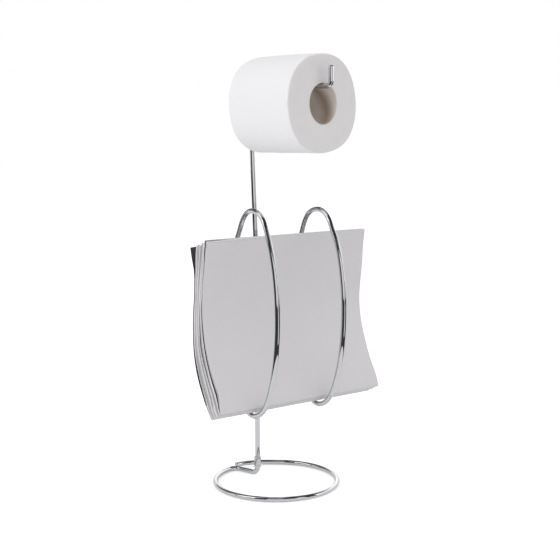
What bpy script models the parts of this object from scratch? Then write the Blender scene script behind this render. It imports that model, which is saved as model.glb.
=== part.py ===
"""Free-standing toilet roll holder with a two-loop magazine rack, in chromed steel wire.

Metres, +Z up. The origin is the centre of the base ring on the floor. The arm and the open face
of the roll point to -Y, and the magazines lie along X.
"""
import math

import bpy
import numpy as np
from mathutils import Matrix, Vector

# Chromed wire
WIRE_DIAMETER = 0.006
WIRE_SIDES = 12
SEAT_GAP = 0.0003

# Base: ring, spoke and stub bent from one wire
RING_RADIUS = 0.0723
RING_BEND_RADIUS = 0.011
RING_BEND_ANGLE = math.radians(106)
FREE_END_ANGLE = math.radians(95)
FREE_END_RISE = 0.0027
FREE_END_RISE_ANGLE = math.radians(45)
ROD_DISTANCE = 0.036
FOOT_BEND_RADIUS = 0.008
STUB_HEIGHT = 0.017
RING_STEPS = 96
BEND_STEPS = 8

# Ferrule over the joint of stub and rod
FERRULE_LENGTH = 0.013
FERRULE_WALL = 0.0009
FERRULE_CHAMFER = 0.0003

# Rod with its arm
ARM_HEIGHT = 0.463
ARM_LENGTH = 0.1276
ARM_TURN = math.radians(6.5)
ROD_LEAN = math.radians(2.7)
LEAN_START_ABOVE_RAIL = 0.006
ARM_BEND_RADIUS = 0.011
TIP_BEND_RADIUS = 0.0055
TIP_HEIGHT = 0.022
# Share of the wire's radius back from the tip, and the radius there as a share of the wire's
TIP_ROUNDING_SHARES = ((0.55, 1.0), (0.2, 0.82), (0.0, 0.5))

# Rack: two closed loops carried by two rails
LOOP_SPACING = 0.097
LOOP_HALF_DEPTH = 0.0445
LOOP_HALF_HEIGHT = 0.116
LOOP_CENTRE_HEIGHT = 0.209
RAIL_OFFSET = 0.036
LOOP_STEPS = 72

# Roll of paper on its core
ROLL_RADIUS = 0.054
ROLL_WIDTH = 0.093
ROLL_EDGE_RADIUS = 0.0022
ROLL_BACK_DISTANCE = 0.0224
CORE_BORE_RADIUS = 0.0222
CORE_WALL = 0.001
ROUND_STEPS = 72
EDGE_STEPS = 4

# Magazines
MAGAZINE_COUNT = 4
MAGAZINE_LENGTH = 0.235
MAGAZINE_HEIGHT = 0.192
MAGAZINE_THICKNESS = 0.004
MAGAZINE_SIDE_OFFSET = 0.0142
COVER_THICKNESS = 0.0004
PAGES_INSET = 0.001
PROFILE_STEPS = 22
FOLD_STEPS = 6
# Shape of the bowed stack inside a loop: height, front face and rear face, the first as a share
# of the loop's half height and the others of its half depth, all counted from the loop's centre
STACK_SHARES = (
    (-1.00, -0.330, 0.020),
    (-0.95, -0.320, 0.080),
    (-0.85, -0.285, 0.300),
    (-0.75, -0.205, 0.470),
    (-0.60, 0.005, 0.660),
    (-0.40, 0.220, 0.810),
    (-0.20, 0.345, 0.865),
    (0.00, 0.410, 0.880),
    (0.20, 0.400, 0.860),
    (0.40, 0.325, 0.815),
    (0.60, 0.215, 0.685),
    (0.80, 0.110, 0.500),
)

# Derived sizes
WIRE_RADIUS = WIRE_DIAMETER / 2
# The wire is faceted, and a facet lies flat on the floor
WIRE_FLOOR_HEIGHT = WIRE_RADIUS * math.cos(math.pi / WIRE_SIDES)
WIRE_PITCH = WIRE_DIAMETER + SEAT_GAP
# Direction of the arm, seen from above
ARM_DIRECTION = Vector((math.sin(ARM_TURN), -math.cos(ARM_TURN), 0))


# Scene and collections
def clear_scene():
    for item in list(bpy.data.objects):
        bpy.data.objects.remove(item, do_unlink=True)


def new_collection(name):
    collection = bpy.data.collections.new(name)
    bpy.context.scene.collection.children.link(collection)
    return collection


# Materials
def new_material(name, colour, roughness, metallic=0.0):
    material = bpy.data.materials.new(name)
    material.use_nodes = True
    shader = material.node_tree.nodes["Principled BSDF"]
    shader.inputs["Base Color"].default_value = (*colour, 1)
    shader.inputs["Roughness"].default_value = roughness
    shader.inputs["Metallic"].default_value = metallic
    material.diffuse_color = (*colour, 1)
    return material


def chrome_material(name):
    return new_material(name, (0.72, 0.72, 0.74), 0.12, 1.0)


def paper_material(name):
    return new_material(name, (0.86, 0.86, 0.87), 0.9)


def cardboard_material(name):
    return new_material(name, (0.26, 0.20, 0.16), 0.85)


def cover_material(name):
    return new_material(name, (0.58, 0.57, 0.59), 0.55)


def pages_material(name):
    return new_material(name, (0.62, 0.62, 0.63), 0.8)


# Helpers
def add_object(name, data, collection, material):
    item = bpy.data.objects.new(name, data)
    collection.objects.link(item)
    data.materials.append(material)
    return item


def add_empty(name, collection, matrix):
    empty = bpy.data.objects.new(name, None)
    collection.objects.link(empty)
    empty.empty_display_size = WIRE_DIAMETER
    empty.matrix_world = matrix
    return empty


def wire(name, points, collection, cyclic=False, radii=None, tilt=0.0):
    """A round wire along a line of points."""
    curve = bpy.data.curves.new(name, "CURVE")
    curve.dimensions = "3D"
    curve.bevel_depth = WIRE_RADIUS
    curve.bevel_resolution = WIRE_SIDES // 2 - 2
    curve.use_fill_caps = not cyclic
    spline = curve.splines.new("POLY")
    spline.points.add(len(points) - 1)
    for number, point in enumerate(points):
        spline.points[number].co = (*point, 1)
        spline.points[number].tilt = tilt
        if radii:
            spline.points[number].radius = radii[number]
    spline.use_cyclic_u = cyclic
    return add_object(name, curve, collection, chrome_material(name))


def fillet(before, corner, after, radius):
    """Points of the arc that rounds a corner between two straight runs."""
    towards_before = (before - corner).normalized()
    towards_after = (after - corner).normalized()
    half_angle = towards_before.angle(towards_after) / 2
    bisector = (towards_before + towards_after).normalized()
    centre = corner + bisector * (radius / math.sin(half_angle))
    start = corner + towards_before * (radius / math.tan(half_angle)) - centre
    turn_axis = towards_after.cross(towards_before).normalized()
    turn = math.pi - 2 * half_angle
    points = []
    for step in range(BEND_STEPS + 1):
        rotation = Matrix.Rotation(turn * step / BEND_STEPS, 3, turn_axis)
        points.append(centre + rotation @ start)
    return points


def turned(name, profile, collection, material):
    """A ring turned about Z from a closed profile of radius and height, outer side downwards."""
    mesh = bpy.data.meshes.new(name)
    points = [(radius, 0, height) for radius, height in profile]
    edges = [(number, (number + 1) % len(points)) for number in range(len(points))]
    mesh.from_pydata(points, edges, [])
    item = add_object(name, mesh, collection, material)
    screw = item.modifiers.new("Turn", "SCREW")
    screw.axis = "Z"
    screw.angle = 2 * math.pi
    screw.steps = ROUND_STEPS
    screw.render_steps = ROUND_STEPS
    screw.use_merge_vertices = True
    screw.merge_threshold = 0.00001
    screw.use_smooth_shade = True
    return item


def smooth_table(rows, column, height):
    """Value of a table's column at a height, on a smooth curve through its rows."""
    heights = [row[0] for row in rows]
    values = [row[column] for row in rows]
    slopes = np.gradient(values, heights)
    place = int(np.clip(np.searchsorted(heights, height) - 1, 0, len(rows) - 2))
    span = heights[place + 1] - heights[place]
    share = (height - heights[place]) / span
    rise = share * share * (3 - 2 * share)
    start_pull = share * (1 - share) ** 2
    end_pull = share * share * (share - 1)
    value = values[place] * (1 - rise) + values[place + 1] * rise
    return value + span * (start_pull * slopes[place] + end_pull * slopes[place + 1])


# Places in the rack
def loop_depth_share(height):
    """Half depth of a loop at a height, as a share of its widest half depth."""
    share = (height - LOOP_CENTRE_HEIGHT) / LOOP_HALF_HEIGHT
    return math.sqrt(1 - share * share)


def rail_height(side):
    return LOOP_CENTRE_HEIGHT + side * RAIL_OFFSET


def leg_slope():
    """Slope of a loop's back leg where a rail crosses it."""
    share = RAIL_OFFSET / LOOP_HALF_HEIGHT
    return LOOP_HALF_DEPTH / LOOP_HALF_HEIGHT * share / math.sqrt(1 - share * share)


def rail_y():
    return ROD_DISTANCE - WIRE_PITCH


def rack_y():
    """Y of the loops' centres: their back legs lie against the rails."""
    leg_pitch = WIRE_PITCH * math.sqrt(1 + leg_slope() ** 2)
    return rail_y() - leg_pitch - LOOP_HALF_DEPTH * loop_depth_share(rail_height(1))


def rest_height(offset):
    """Height of the top of a loop's wire, near its bottom, at an offset in Y from its centre."""
    share = offset / LOOP_HALF_DEPTH
    drop = math.sqrt(1 - share * share)
    slope = LOOP_HALF_HEIGHT / LOOP_HALF_DEPTH * share / drop
    return LOOP_CENTRE_HEIGHT - LOOP_HALF_HEIGHT * drop + WIRE_RADIUS * math.sqrt(1 + slope * slope)


# Base
def base_path():
    """The ring from its free end clockwise, its inward bend, the spoke and the stub."""
    sweep = FREE_END_ANGLE - RING_BEND_ANGLE + 2 * math.pi
    points = []
    for step in range(RING_STEPS + 1):
        turned_by = sweep * step / RING_STEPS
        angle = FREE_END_ANGLE - turned_by
        rise_share = max(0, 1 - turned_by / FREE_END_RISE_ANGLE)
        height = WIRE_FLOOR_HEIGHT + FREE_END_RISE * rise_share * rise_share * (3 - 2 * rise_share)
        points.append(Vector((RING_RADIUS * math.cos(angle), RING_RADIUS * math.sin(angle), height)))
    centre_distance = RING_RADIUS - RING_BEND_RADIUS
    centre = Vector((centre_distance * math.cos(RING_BEND_ANGLE),
                     centre_distance * math.sin(RING_BEND_ANGLE), WIRE_FLOOR_HEIGHT))
    foot = Vector((0, ROD_DISTANCE, WIRE_FLOOR_HEIGHT))
    to_foot = foot - centre
    leave_angle = math.atan2(to_foot.y, to_foot.x) + math.acos(RING_BEND_RADIUS / to_foot.length)
    for step in range(1, BEND_STEPS + 1):
        angle = RING_BEND_ANGLE + (leave_angle - RING_BEND_ANGLE) * step / BEND_STEPS
        points.append(centre + RING_BEND_RADIUS * Vector((math.cos(angle), math.sin(angle), 0)))
    stub_top = Vector((0, ROD_DISTANCE, STUB_HEIGHT))
    points.extend(fillet(points[-1], foot, stub_top, FOOT_BEND_RADIUS))
    points.append(stub_top)
    return points


def base_wire(collection):
    # The fall from the free end twists the wire, and the tilt takes that back out of the ring
    tilt = math.pi / WIRE_SIDES + FREE_END_RISE / RING_RADIUS
    wire("base_wire", base_path(), collection, tilt=tilt)


def base_ferrule(collection):
    inner = WIRE_RADIUS + SEAT_GAP
    outer = inner + FERRULE_WALL
    half = FERRULE_LENGTH / 2
    edge = half - FERRULE_CHAMFER
    rim = outer - FERRULE_CHAMFER
    profile = ((rim, half), (outer, edge), (outer, -edge), (rim, -half), (inner, -half), (inner, half))
    ferrule = turned("base_ferrule", profile, collection, chrome_material("base_ferrule"))
    ferrule.location = (0, ROD_DISTANCE, STUB_HEIGHT + SEAT_GAP / 2)


# Rod and arm
def rod_top():
    """The corner where the leaning rod's axis meets the arm's."""
    lean_start = rail_height(1) + LEAN_START_ABOVE_RAIL
    back = (ARM_HEIGHT - lean_start) * math.tan(ROD_LEAN)
    return Vector((0, ROD_DISTANCE, ARM_HEIGHT)) - ARM_DIRECTION * back


def rod_path():
    bottom = Vector((0, ROD_DISTANCE, STUB_HEIGHT + SEAT_GAP))
    lean_start = Vector((0, ROD_DISTANCE, rail_height(1) + LEAN_START_ABOVE_RAIL))
    top = rod_top()
    tip_corner = top + ARM_DIRECTION * ARM_LENGTH
    tip = tip_corner + Vector((0, 0, TIP_HEIGHT))
    points = [bottom, lean_start]
    points.extend(fillet(lean_start, top, tip_corner, ARM_BEND_RADIUS))
    points.extend(fillet(top, tip_corner, tip, TIP_BEND_RADIUS))
    radii = [1.0] * len(points)
    for back_share, radius_share in TIP_ROUNDING_SHARES:
        points.append(tip - Vector((0, 0, WIRE_RADIUS * back_share)))
        radii.append(radius_share)
    return points, radii


def stem_rod(collection):
    points, radii = rod_path()
    wire("stem_rod", points, collection, radii=radii)


# Rack
def rack_loop(name, side, collection):
    points = []
    for step in range(LOOP_STEPS):
        angle = 2 * math.pi * step / LOOP_STEPS
        points.append(Vector((side * LOOP_SPACING / 2,
                              rack_y() + LOOP_HALF_DEPTH * math.cos(angle),
                              LOOP_CENTRE_HEIGHT + LOOP_HALF_HEIGHT * math.sin(angle))))
    wire(name, points, collection, cyclic=True)


def rack_rail(name, side, collection):
    half = LOOP_SPACING / 2 + WIRE_RADIUS
    ends = [Vector((-half, rail_y(), rail_height(side))), Vector((half, rail_y(), rail_height(side)))]
    wire(name, ends, collection)


# Roll
def roll_matrix():
    """Axis of the hanging roll: Z along the arm, towards its tip."""
    hang = CORE_BORE_RADIUS - WIRE_RADIUS - SEAT_GAP
    along = ROLL_BACK_DISTANCE + ROLL_WIDTH / 2
    centre = rod_top() + ARM_DIRECTION * along - Vector((0, 0, hang))
    return Matrix.Translation(centre) @ ARM_DIRECTION.to_track_quat("Z", "Y").to_matrix().to_4x4()


def roll_core(collection, axis):
    outer = CORE_BORE_RADIUS + CORE_WALL
    half = ROLL_WIDTH / 2
    profile = ((outer, half), (outer, -half), (CORE_BORE_RADIUS, -half), (CORE_BORE_RADIUS, half))
    turned("roll_core", profile, collection, cardboard_material("roll_core")).parent = axis


def roll_paper(collection, axis):
    inner = CORE_BORE_RADIUS + CORE_WALL + SEAT_GAP
    half = ROLL_WIDTH / 2
    rim = ROLL_RADIUS - ROLL_EDGE_RADIUS
    edge = half - ROLL_EDGE_RADIUS
    arc = []
    for step in range(EDGE_STEPS + 1):
        angle = math.pi / 2 * step / EDGE_STEPS
        arc.append((rim + ROLL_EDGE_RADIUS * math.sin(angle), edge + ROLL_EDGE_RADIUS * math.cos(angle)))
    profile = arc + [(radius, -height) for radius, height in reversed(arc)]
    profile += [(inner, -half), (inner, half)]
    turned("roll_paper", profile, collection, paper_material("roll_paper")).parent = axis


# Magazines
def magazine_centre_y(number, height):
    """Y of a magazine's middle surface at a height."""
    share = (height - LOOP_CENTRE_HEIGHT) / LOOP_HALF_HEIGHT
    front = smooth_table(STACK_SHARES, 1, share)
    rear = smooth_table(STACK_SHARES, 2, share)
    across = (number + 0.5) / MAGAZINE_COUNT
    return rack_y() + LOOP_HALF_DEPTH * (front + (rear - front) * across)


def magazine_foot(number):
    """Y and Z of the lowest line of a magazine, at rest on both loops."""
    lowest = LOOP_CENTRE_HEIGHT - LOOP_HALF_HEIGHT
    offset = magazine_centre_y(number, lowest) - rack_y()
    half = MAGAZINE_THICKNESS / 2
    height = max(rest_height(offset - half), rest_height(offset), rest_height(offset + half))
    return offset + rack_y(), height + SEAT_GAP


def magazine_spine(number, inset):
    """Points up the middle surface, from an inset above the foot, and each one's unit normal."""
    foot = magazine_foot(number)[1]
    heights = np.linspace(foot + inset, foot + MAGAZINE_HEIGHT, PROFILE_STEPS)
    line = np.array([(magazine_centre_y(number, height), height) for height in heights])
    along = np.gradient(line, axis=0)
    along /= np.linalg.norm(along, axis=1)[:, None]
    normals = np.stack([along[:, 1], -along[:, 0]], axis=1)
    return line, normals


def leaf_outline(number, half_thickness):
    """Outline of a folded sheaf: front face down, round the fold and up the rear face."""
    line, normals = magazine_spine(number, MAGAZINE_THICKNESS / 2)
    front = list((line - normals * half_thickness)[::-1])
    rear = list(line + normals * half_thickness)
    fold = []
    for step in range(1, FOLD_STEPS):
        angle = math.pi * step / FOLD_STEPS
        down = np.array((normals[0][1], -normals[0][0]))
        fold.append(line[0] - normals[0] * half_thickness * math.cos(angle)
                    + down * half_thickness * math.sin(angle))
    return front + fold + rear


def magazine_piece(name, outline, foot, length, collection, material, parent):
    """A flat outline in Y and Z, as thick along X as the magazine is long."""
    curve = bpy.data.curves.new(name, "CURVE")
    curve.dimensions = "2D"
    curve.fill_mode = "BOTH"
    curve.extrude = length / 2
    spline = curve.splines.new("POLY")
    spline.points.add(len(outline) - 1)
    for number, (y, z) in enumerate(outline):
        spline.points[number].co = (y - foot[0], z - foot[1], 0, 1)
    spline.use_cyclic_u = True
    piece = add_object(name, curve, collection, material)
    piece.rotation_euler = (math.pi / 2, 0, math.pi / 2)
    piece.parent = parent


def magazine(number, collection):
    name = f"magazine_{number + 1}"
    foot = magazine_foot(number)
    slide = add_empty(f"{name}_slide", collection, Matrix.Translation((MAGAZINE_SIDE_OFFSET, *foot)))
    outer = MAGAZINE_THICKNESS / 2
    inner = outer - COVER_THICKNESS
    cover = leaf_outline(number, outer) + leaf_outline(number, inner)[::-1]
    magazine_piece(f"{name}_cover", cover, foot, MAGAZINE_LENGTH, collection,
                   cover_material(f"{name}_cover"), slide)
    pages = leaf_outline(number, inner - SEAT_GAP)
    magazine_piece(f"{name}_pages", pages, foot, MAGAZINE_LENGTH - 2 * PAGES_INSET, collection,
                   pages_material(f"{name}_pages"), slide)


def main():
    clear_scene()
    collection = new_collection("toilet_roll_holder_with_magazine_rack")
    base_wire(collection)
    base_ferrule(collection)
    stem_rod(collection)
    rack_rail("rail_lower", -1, collection)
    rack_rail("rail_upper", 1, collection)
    rack_loop("loop_left", -1, collection)
    rack_loop("loop_right", 1, collection)
    axis = add_empty("roll_axis", collection, roll_matrix())
    roll_core(collection, axis)
    roll_paper(collection, axis)
    for number in range(MAGAZINE_COUNT):
        magazine(number, collection)


main()
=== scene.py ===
"""Finish of a free-standing toilet roll holder with a magazine rack, on a plain studio floor.

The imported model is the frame. Each operator makes one piece or one group of like pieces around
it, in metres and in the frame's own coordinates, and the last one sets up the studio.
"""
import math
import random

import bmesh
import bpy
from mathutils import Matrix, Vector, noise


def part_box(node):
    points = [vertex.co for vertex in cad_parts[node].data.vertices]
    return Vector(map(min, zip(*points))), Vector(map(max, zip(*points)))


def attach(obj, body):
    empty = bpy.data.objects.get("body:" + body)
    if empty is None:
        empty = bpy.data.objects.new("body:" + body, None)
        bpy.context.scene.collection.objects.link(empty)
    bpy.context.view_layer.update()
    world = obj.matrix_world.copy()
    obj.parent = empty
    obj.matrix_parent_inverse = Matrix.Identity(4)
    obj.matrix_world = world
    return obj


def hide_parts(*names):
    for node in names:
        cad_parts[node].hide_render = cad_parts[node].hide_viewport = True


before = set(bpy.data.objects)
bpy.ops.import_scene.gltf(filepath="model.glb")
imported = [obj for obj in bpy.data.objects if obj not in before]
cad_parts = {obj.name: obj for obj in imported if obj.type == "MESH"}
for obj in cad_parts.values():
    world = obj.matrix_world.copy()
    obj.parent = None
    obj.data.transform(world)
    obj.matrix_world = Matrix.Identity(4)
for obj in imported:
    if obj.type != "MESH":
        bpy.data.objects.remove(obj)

bl_info = {
    "name": "Toilet Roll Holder With Magazine Rack",
    "version": (1, 0, 0),
    "blender": (4, 5, 0),
    "location": "View3D > Sidebar > Roll Holder",
    "description": "Chromed wire stand, hanging roll and racked magazines in a plain studio",
    "category": "Object",
}

MM = 0.001
# Seeds of what is uneven on the roll's ends and on the leaves of the first magazine
ROLL_SEED, LEAF_SEED = 5, 31

# Points that fall together when a profile is spun lie closer than this
MERGE_DISTANCE = 0.001 * MM

# Wire: sides round it, steps in each bend and in each rounded end, and the gap at a weld
WIRE_SIDES = 24
BEND_STEPS = 14
END_STEPS = 5
SEAT_GAP = 0.3 * MM
# Rounding of the wires' ends, as shares of the wire's radius
RING_END_ROUNDING = 0.25
RAIL_END_ROUNDING = 0.3
TIP_ROUNDING = 0.55

# Base ring, spoke and stub
RING_RADIUS = 72.3 * MM
RING_BEND_RADIUS = 11 * MM
RING_BEND_ANGLE = math.radians(106)
FREE_END_ANGLE = math.radians(95)
FREE_END_RISE = 2.7 * MM
FREE_END_RISE_ANGLE = math.radians(45)
ROD_DISTANCE = 36 * MM
FOOT_BEND_RADIUS = 8 * MM
RING_STEPS = 192

# Ferrule: clearance round the rod, rounding of its ends, and a groove near each end
FERRULE_CLEARANCE = 0.05 * MM
FERRULE_EDGE = 0.45 * MM
GROOVE_DEPTH = 0.22 * MM
GROOVE_HALF_WIDTH = 0.35 * MM
GROOVE_DISTANCE = 2.4 * MM
GROOVE_STEPS = 6
EDGE_STEPS = 4
FERRULE_SIDES = 64

# Rod and arm
ARM_TURN = math.radians(6.5)
ARM_LENGTH = 127.6 * MM
ARM_HEIGHT = 463 * MM
ROD_LEAN = math.radians(2.7)
LEAN_START = 251 * MM
ARM_BEND_RADIUS = 11 * MM
TIP_BEND_RADIUS = 5.5 * MM
TIP_HEIGHT = 22 * MM
ROD_STEPS = 12
ARM_DIRECTION = Vector((math.sin(ARM_TURN), -math.cos(ARM_TURN), 0))

# Rack: steps round a loop and along a rail, and the loops' distance from the middle
LOOP_STEPS = 160
RAIL_STEPS = 8
LOOP_DISTANCE = 48.5 * MM
# How much lower each hand-bent loop hangs than a true one, and how much fuller its front is
LOOP_SETTLING = {"loop_left": (0.5 * MM, 0.0), "loop_right": (1.2 * MM, 1.0 * MM)}
# Where each loop swells past a true ellipse, or falls inside it: angle round the loop from its
# back and width of the swelling, both in degrees, and its size
LOOP_SWELLINGS = {
    "loop_left": ((53, 11, -2.2 * MM), (86, 17, 1.6 * MM), (110, 14, 2.8 * MM),
                  (242, 14, 1.1 * MM)),
    "loop_right": ((66, 14, 2.6 * MM), (106, 9, 0.5 * MM), (127, 9, -1.3 * MM),
                   (242, 14, 1.1 * MM)),
}
# Half sizes of a weld bead along the rail, across the two wires and along the leg, the share by
# which it is uneven, and how fine that is on a bead and from bead to bead
WELD_HALF_SIZES = (2.3 * MM, 1.1 * MM, 2.3 * MM)
WELD_UNEVENNESS = 0.16
WELD_LUMPS = 1.7
WELD_SPREAD = 400

# Roll, its core and the gap between them
ROLL_SIDES = 144
CORE_SIDES = 96
CORE_STEPS = 8
CORE_BORE_RADIUS = 22.2 * MM
CORE_WALL = 1.0 * MM
CORE_EDGE = 0.2 * MM
PAPER_GAP = 0.1 * MM
ROLL_RADIUS = 54 * MM
ROLL_WIDTH = 93 * MM
ROLL_RIM_RADIUS = 2.6 * MM
ROLL_RIM_STEPS = 8
ROLL_SIDE_STEPS = 16
ROLL_CENTRE = Vector((6.668, -22.524, 444.1)) * MM
ROLL_TURN = ARM_DIRECTION.to_track_quat("Z", "Y")
# The soft roll hangs a little further forward, and isn't round: how much fuller it is, as waves
# with their number per turn and their parts to the right and upwards
ROLL_ADVANCE = 1.0 * MM
ROLL_PLACE = ROLL_CENTRE + ARM_DIRECTION * ROLL_ADVANCE
ROLL_FULLNESS = ((0, 2.28 * MM, 0.0), (1, -0.28 * MM, -0.15 * MM), (2, 0.82 * MM, 0.19 * MM),
                 (3, -0.06 * MM, -0.22 * MM), (4, -1.01 * MM, -0.47 * MM))
# Soft dents in its side and in its ends: how many to a metre, and their size
SIDE_DENTS = ((28, 0.45 * MM), (90, 0.12 * MM))
END_DENTS = (60, 0.22 * MM)
# The ends lie this much inside the roll's width, and every other ring stands proud of them by a
# random share of the second value. The cut face reaches into the rounded rim by a share of it
END_DEPTH = 0.2 * MM
RING_PROUD = 0.16 * MM
PROUD_SHARES = (0.3, 1.0)
CUT_FACE_SHARE = 0.35
PLY_BAND = 1.25 * MM
# Width of a ring that shows on an end, as a share of a band of plies, and how much it changes
# the tone
RING_SHARE = 0.55
RING_TONE = 0.12
# The core's seam: how far it climbs in a turn, how far round it starts, and the widths of the
# seam and of the band of painted shade beside it, a darker brown for the shade in the middle of
# the bore, all three as parts of a turn
SEAM_CLIMB = 62 * MM
SEAM_START = 0.02
SEAM_WIDTH = 0.016
PAINTED_SHADE_WIDTH = 0.25

# Magazines: outline of the bowed stack inside a loop, as height share of the loop's half height
# and front and rear shares of its half depth
STACK_SHARES = (
    (-1.00, -0.330, 0.020),
    (-0.95, -0.320, 0.080),
    (-0.85, -0.285, 0.300),
    (-0.75, -0.205, 0.470),
    (-0.60, 0.005, 0.660),
    (-0.40, 0.220, 0.810),
    (-0.20, 0.345, 0.865),
    (0.00, 0.410, 0.880),
    (0.20, 0.400, 0.860),
    (0.40, 0.325, 0.815),
    (0.60, 0.215, 0.685),
    (0.80, 0.110, 0.500),
)
# Their sizes, and the rows and columns of points on each folded sheet
MAGAZINE_COUNT = 4
MAGAZINE_HEIGHT = 192 * MM
MAGAZINE_HALF_THICKNESS = 2 * MM
COVER_THICKNESS = 0.3 * MM
LEAF_THICKNESS = 0.16 * MM
LEAF_COUNT = 7
SHEET_ROWS = 30
FOLD_ROWS = 6
SHEET_COLUMNS = 28
# Share by which a sheet's columns of points stand closer at its ends than if they were even
END_CROWDING = 0.6

# Left ends of the stack, by height share: the gap behind the front cover, how far the front
# cover, the dark leaf, the pale leaves, the second dark leaf, the rest, the last leaves and the
# last cover stick out, and how far the stack is fanned back, all in millimetres
(GAP, FRONT_COVER, DARK_LEAF, PALE_LEAVES, SECOND_LEAF, THE_REST, LAST_LEAVES, LAST_COVER,
 FAN) = range(1, 10)
LEFT_ENDS = (
    (0.00, 0.0, 0.0, 0.0, 0.0, 0.3, 0.9, 2.0, 1.6, 0.5),
    (0.04, 0.8, -0.5, 0.4, 1.0, 0.6, 0.5, 1.5, 1.2, 0.9),
    (0.12, 1.4, -2.6, -0.5, 0.5, -0.9, -1.3, 0.1, 0.1, 1.1),
    (0.25, 1.1, -1.4, 0.0, 0.7, -0.2, -1.0, 0.1, 0.5, 0.9),
    (0.40, 0.7, 0.0, 1.2, 1.8, 1.8, 0.8, 1.2, 0.6, 0.5),
    (0.60, 0.3, 0.8, 1.6, 1.5, 0.5, 0.2, 0.2, -0.5, 0.2),
    (0.70, 0.0, 0.9, 1.1, 1.1, -0.1, 0.0, -1.0, -1.6, 0.1),
    (0.85, 0.1, 1.6, 1.9, 1.7, 0.0, -0.3, -0.7, -1.4, 1.0),
    (0.93, 0.3, 2.5, 3.4, 2.9, 0.2, 0.4, 0.9, 0.0, 3.0),
    (1.00, 0.5, 2.1, 3.3, 2.4, 0.2, 0.9, 1.7, 1.0, 4.6),
)
# Right ends of the stack, by height share: how far back they are twisted, in millimetres
TWIST = 1
RIGHT_ENDS = (
    (0.00, -5.1), (0.05, -4.8), (0.13, -3.3), (0.21, -3.4), (0.28, -3.5), (0.35, -2.5),
    (0.42, -1.3), (0.50, -0.9), (0.57, -1.2), (0.63, -1.9), (0.69, -2.5), (0.75, -2.6),
    (0.80, -1.9), (0.87, 0.4), (0.93, 1.9), (1.00, 3.2),
)
# Where along X each end begins, and over which length it reaches the values in its table. The
# left end may go past them by a little
LEFT_END_START, LEFT_END_LENGTH, LEFT_END_MOST = -58 * MM, 45 * MM, 1.2
RIGHT_END_START, RIGHT_END_LENGTH = 50 * MM, 82 * MM
# How far sideways looks like one millimetre back, as the camera sees the stack
SIDEWAYS_SHARE = 0.806
# Height share below which the feet of the middle magazines stick out at the right
FOOT_SHARE = 0.25
# How far the feet sag into the loops: halfway between them, how much more at the right one, in
# millimetres, and how fast the feet rise again beyond it
SAG, SAG_TILT, SAG_RETURN = 0.9, 0.3, 2.1

# How the upper edge of the first magazine's cover and leaves hangs at the left: how far, where
# along X it begins, and over which length. One dark leaf shows above the first leaf
COVER_DROP = (2.1 * MM, 40 * MM, 143 * MM)
FIRST_LEAF_DROP = (0.8 * MM, -66 * MM, 34 * MM)
HIDDEN_LEAF_DROP = (0.45 * MM, -50 * MM, 34 * MM)
# How far the last cover's upper left corner springs back and curls down, in millimetres, how
# sharply, and from which height it does so over which length
CORNER_SPRING, CORNER_CURL, CORNER_POWER = 9.0, 3.5, 1.3
CORNER_START, CORNER_LENGTH = 250 * MM, 39 * MM
# Part of the last cover's dark back that stays pale, next to the fold
SPINE_PART = 0.16
# Swelling of the covers at the fold: height share, width and size
COVER_FOLD = ((0.0, 0.07, -0.25 * MM),)
# Where the leaves close up, in front and behind: height share, width and share of their distance
# from the magazine's middle. They do so at their open edges, the first ones low down too
FRONT_CLOSING = ((1.0, 0.12, -0.3),)
REAR_CLOSING = ((0.95, 0.15, -0.3),)
FIRST_CLOSING = ((0.16, 0.16, -0.45), *FRONT_CLOSING)
# Leaves: room inside the innermost one, gap between the outermost one and the cover, and how much
# shorter than the cover they are at their left and right ends, at least and at most, in millimetres
LEAF_CORE = 0.18 * MM
LEAF_GAP = 0.3 * MM
LEFT_INSETS = (0.2, 1.3)
RIGHT_INSETS = (0.3, 1.5)
LAST_LEAVES_INSET = 0.5 * MM
# Where a magazine's leaves lie in the depth of the stack, in magazines, and over which part
LEAF_ORDER, LEAF_ORDER_SPREAD = 0.2, 0.5
# Magazine and leaf number of the dark leaves, which are painted shade: each stands for the gap
# behind the front cover of one of the two front magazines
PAINTED_SHADE_LEAVES = ((0, 1), (1, 0))

# Camera: azimuth, pitch and roll in degrees, focal length as a share of the picture's width,
# width of the sensor in millimetres, the point that it looks at and its distance from there
CAMERA_TURN = (-38.9131, 7.4701, -0.1422)
CAMERA_FOCAL_SHARE = 1113.78 / 560
CAMERA_SENSOR = 36
CAMERA_TARGET = Vector((6.43, 0, 242.185)) * MM
CAMERA_DISTANCE = 1297.98 * MM

# Light of the surroundings on matt surfaces
WORLD_LIGHT = 0.75
# Half width of the floor in metres, and how far it lies below the ring
FLOOR_REACH = 12
FLOOR_DEPTH = 0.2 * MM
# Own light of the floor where the eye meets it, and where the chrome does
FLOOR_GLOW = 0.45
FLOOR_MIRRORED_GLOW = 0.2
# Lamps: name, place, target, width, height in metres and power in watts
LAMPS = (
    ("key_softbox", (-2.9, -0.55, 1.3), (0, 0, 0.3), 1.1, 1.9, 20),
    ("fill_softbox", (1.9, -2.3, 1.0), (0, 0, 0.25), 1.8, 1.2, 6.5),
    ("top_softbox", (-0.1, -0.12, 2.3), (0, 0, 0.2), 0.5, 0.4, 1.3),
)
# Panels in the air that only the chrome sees. They face a height on the upright from a distance,
# and each next one stands a step nearer
FLAG_CENTRE_HEIGHT = 0.2
FLAG_DISTANCE = 2.0
FLAG_STEP = 0.02
FLAG_BLACK = (0.004, 0.004, 0.004, 1)
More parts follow.
